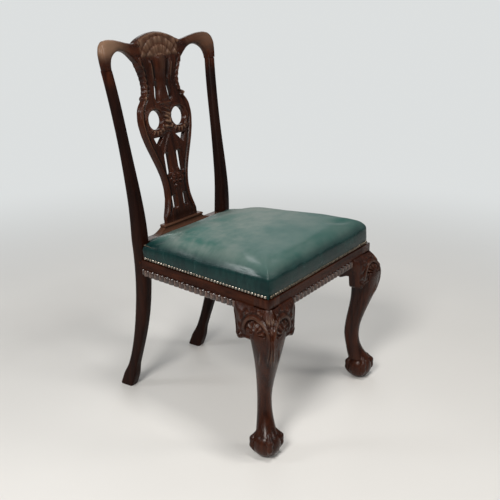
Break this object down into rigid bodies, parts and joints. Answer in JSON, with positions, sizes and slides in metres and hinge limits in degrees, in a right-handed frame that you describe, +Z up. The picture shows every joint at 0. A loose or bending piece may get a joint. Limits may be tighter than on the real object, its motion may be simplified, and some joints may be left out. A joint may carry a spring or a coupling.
{
  "type": "dining chair",
  "caption": "Carved mahogany dining chair with a pierced splat, cabriole front legs on ball and claw feet, and a stuff-over leather seat with close nailing.",
  "frame": {"origin": "on the floor under the middle of the chair's box", "axes": "+Z up, the chair faces -Y, +X is the sitter's left"},
  "size_m": [0.5804, 0.5864, 0.971],
  "materials": {
    "mahogany": "dark waxed red-brown mahogany",
    "beech": "bare beech",
    "leather": "worn dark green hide with a soft sheen",
    "brass": "rubbed brass nail heads",
    "steel": "dull steel screws",
    "webbing": "woven jute webbing",
    "hessian": "plain woven hessian",
    "stuffing": "curled hair stuffing"
  },
  "bodies": {
    "root": {"back_post_left": "mahogany", "back_post_right": "mahogany", "corner_block_front_left": "beech", "corner_block_front_right": "beech", "corner_block_rear_left": "beech", "corner_block_rear_right": "beech", "corner_block_screws": "steel", "crest_rail": "mahogany", "front_leg_left": "mahogany", "front_leg_right": "mahogany", "front_rail": "mahogany", "gadroon_front": "mahogany", "gadroon_left": "mahogany", "gadroon_right": "mahogany", "hessian": "hessian", "knee_bracket_front_left": "mahogany", "knee_bracket_front_right": "mahogany", "knee_bracket_side_left": "mahogany", "knee_bracket_side_right": "mahogany", "leather_cover": "leather", "nails_front": "brass", "nails_left": "brass", "nails_right": "brass", "rear_rail": "mahogany", "seat_stuffing": "stuffing", "side_rail_left": "mahogany", "side_rail_right": "mahogany", "splat": "mahogany", "splat_shoe": "mahogany", "tenon_pegs": "mahogany", "webbing_crosswise": "webbing", "webbing_lengthwise": "webbing"}
  },
  "joints": []
}
